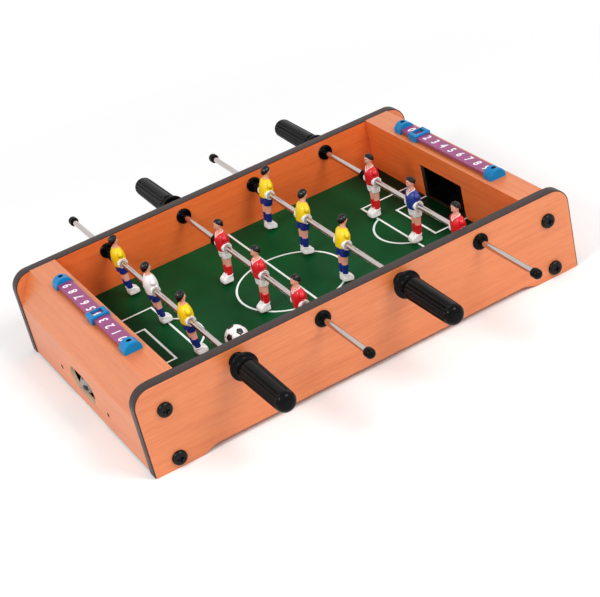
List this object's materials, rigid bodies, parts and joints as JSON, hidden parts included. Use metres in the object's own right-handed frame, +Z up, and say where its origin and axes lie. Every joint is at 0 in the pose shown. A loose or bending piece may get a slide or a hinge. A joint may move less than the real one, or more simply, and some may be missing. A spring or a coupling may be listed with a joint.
{
  "type": "tabletop foosball table",
  "caption": "Small tabletop foosball table: open wooden box with sliding, spinning player rods, goals with ball returns and bead-style score counters on the ends.",
  "frame": {"origin": "on the surface it stands on, under the middle of the pitch", "axes": "+X along the pitch from the left goal to the right goal, +Y from the front side panel to the rear one, +Z up"},
  "size_m": [0.51, 0.538, 0.1131],
  "materials": {
    "wood": "satin cherry-tone wood-grain laminate",
    "trim": "matt dark grey-brown edge banding",
    "pitch": "printed green playing field, satin",
    "plain_board": "plain hidden board",
    "chrome": "polished rod",
    "black_plastic": "moulded black plastic",
    "black_metal": "blackened steel",
    "rubber": "black rubber",
    "counter_blue": "glossy blue plastic",
    "counter_purple": "glossy purple plastic with white numbers",
    "yellow_kit": "painted figure, yellow shirt",
    "red_kit": "painted figure, red shirt",
    "white_kit": "painted figure, white shirt",
    "blue_kit": "painted figure, blue shirt",
    "ball": "white ball with black patches"
  },
  "bodies": {
    "table": {"front_side_panel": "wood", "front_edge_trim": "trim", "rear_side_panel": "wood", "rear_edge_trim": "trim", "pitch_board": "pitch", "left_goal_wall": "wood", "left_top_board": "wood", "left_slope_board": "wood", "left_end_board": "wood", "left_ball_tray": "plain_board", "left_ball_guides": "plain_board", "left_corner_blocks": "plain_board", "left_score_bar": "counter_purple", "left_score_holders": "counter_blue", "right_goal_wall": "wood", "right_top_board": "wood", "right_slope_board": "wood", "right_end_board": "wood", "right_ball_tray": "plain_board", "right_ball_guides": "plain_board", "right_corner_blocks": "plain_board", "right_score_bar": "counter_purple", "right_score_holders": "counter_blue", "rod_bushes": "black_plastic", "bush_rings": "black_plastic", "panel_bolts": "black_metal", "end_board_screws": "black_metal", "score_screws": "black_metal"},
    "left_slider": {"left_score_slider": "counter_blue"},
    "right_slider": {"right_score_slider": "counter_blue"},
    "ball_in_play": {"match_ball": "ball"},
    "ball_in_return": {"spare_ball": "ball"},
    "carriage_1": {"rod_1_bumper": "rubber"},
    "rod_1": {"rod_1_tube": "chrome", "rod_1_handle": "black_plastic", "rod_1_end_cap": "black_plastic", "rod_1_front_player": "yellow_kit", "rod_1_middle_player": "white_kit", "rod_1_rear_player": "yellow_kit"},
    "carriage_2": {"rod_2_bumper": "rubber"},
    "rod_2": {"rod_2_tube": "chrome", "rod_2_handle": "black_plastic", "rod_2_end_cap": "black_plastic", "rod_2_front_player": "red_kit", "rod_2_middle_player": "red_kit", "rod_2_rear_player": "red_kit"},
    "carriage_3": {"rod_3_bumper": "rubber"},
    "rod_3": {"rod_3_tube": "chrome", "rod_3_handle": "black_plastic", "rod_3_end_cap": "black_plastic", "rod_3_front_player": "yellow_kit", "rod_3_middle_player": "yellow_kit", "rod_3_rear_player": "yellow_kit"},
    "carriage_4": {"rod_4_bumper": "rubber"},
    "rod_4": {"rod_4_tube": "chrome", "rod_4_handle": "black_plastic", "rod_4_end_cap": "black_plastic", "rod_4_front_player": "red_kit", "rod_4_middle_player": "blue_kit", "rod_4_rear_player": "red_kit"}
  },
  "joints": [
    {"name": "rod_1_slide", "type": "slide", "parent": "table", "child": "carriage_1", "axis": [0, 1, 0], "range_m": [-0.0804, 0.0104]},
    {"name": "rod_1_spin", "type": "hinge", "parent": "carriage_1", "child": "rod_1", "pos_m": [-0.143, 0, 0.0817], "axis": [0, 1, 0], "continuous": true},
    {"name": "rod_2_slide", "type": "slide", "parent": "table", "child": "carriage_2", "axis": [0, 1, 0], "range_m": [-0.0104, 0.0776]},
    {"name": "rod_2_spin", "type": "hinge", "parent": "carriage_2", "child": "rod_2", "pos_m": [-0.046, 0, 0.0817], "axis": [0, 1, 0], "continuous": true},
    {"name": "rod_3_slide", "type": "slide", "parent": "table", "child": "carriage_3", "axis": [0, 1, 0], "range_m": [-0.0834, 0.0074]},
    {"name": "rod_3_spin", "type": "hinge", "parent": "carriage_3", "child": "rod_3", "pos_m": [0.046, 0, 0.0817], "axis": [0, 1, 0], "continuous": true},
    {"name": "rod_4_slide", "type": "slide", "parent": "table", "child": "carriage_4", "axis": [0, 1, 0], "range_m": [-0.0034, 0.0846]},
    {"name": "rod_4_spin", "type": "hinge", "parent": "carriage_4", "child": "rod_4", "pos_m": [0.143, 0, 0.0817], "axis": [0, 1, 0], "continuous": true},
    {"name": "left_score_slide", "type": "slide", "parent": "table", "child": "left_slider", "axis": [0, 1, 0], "range_m": [-0.0656, 0.082]},
    {"name": "right_score_slide", "type": "slide", "parent": "table", "child": "right_slider", "axis": [0, 1, 0], "range_m": [-0.1312, 0.0164]},
    {"name": "match_ball_roll", "type": "slide", "parent": "table", "child": "ball_in_play", "axis": [0, 1, 0], "range_m": [-0.0657, 0.2133]},
    {"name": "spare_ball_roll", "type": "slide", "parent": "table", "child": "ball_in_return", "axis": [0, 1, 0], "range_m": [-0.023, 0.013]}
  ]
}
